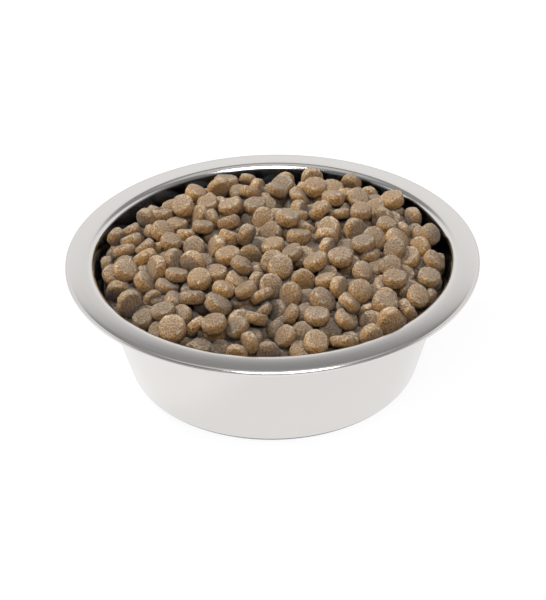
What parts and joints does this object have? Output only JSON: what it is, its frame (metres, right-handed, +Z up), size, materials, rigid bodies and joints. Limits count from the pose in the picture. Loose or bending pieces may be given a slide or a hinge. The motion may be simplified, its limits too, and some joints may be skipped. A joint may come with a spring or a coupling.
{
  "type": "pet food bowl",
  "caption": "Round stainless steel pet bowl with a wide rolled lip, heaped with disc-shaped pieces of dry pet food.",
  "frame": {"origin": "centre of the bowl's flat underside", "axes": "+Z up along the bowl's axis, +X and +Y level"},
  "size_m": [0.2048, 0.2048, 0.078],
  "materials": {
    "steel": "satin",
    "food": "matt and crumbly"
  },
  "bodies": {
    "root": {"bowl": "steel", "kibble_bed": "food", "kibble_01": "food", "kibble_02": "food", "kibble_03": "food", "kibble_04": "food", "kibble_05": "food", "kibble_06": "food", "kibble_07": "food", "kibble_08": "food", "kibble_09": "food", "kibble_10": "food", "kibble_11": "food", "kibble_12": "food", "kibble_13": "food", "kibble_14": "food", "kibble_15": "food", "kibble_16": "food", "kibble_17": "food", "kibble_18": "food", "kibble_19": "food", "kibble_20": "food", "kibble_21": "food", "kibble_22": "food", "kibble_23": "food", "kibble_24": "food", "kibble_25": "food", "kibble_26": "food", "kibble_27": "food", "kibble_28": "food", "kibble_29": "food", "kibble_30": "food", "kibble_31": "food", "kibble_32": "food", "kibble_33": "food", "kibble_34": "food", "kibble_35": "food", "kibble_36": "food", "kibble_37": "food", "kibble_38": "food", "kibble_39": "food", "kibble_40": "food", "kibble_41": "food", "kibble_42": "food", "kibble_43": "food", "kibble_44": "food", "kibble_45": "food", "kibble_46": "food", "kibble_47": "food", "kibble_48": "food", "kibble_49": "food", "kibble_50": "food", "kibble_51": "food", "kibble_52": "food", "kibble_53": "food", "kibble_54": "food", "kibble_55": "food", "kibble_56": "food", "kibble_57": "food", "kibble_58": "food"}
  },
  "joints": []
}
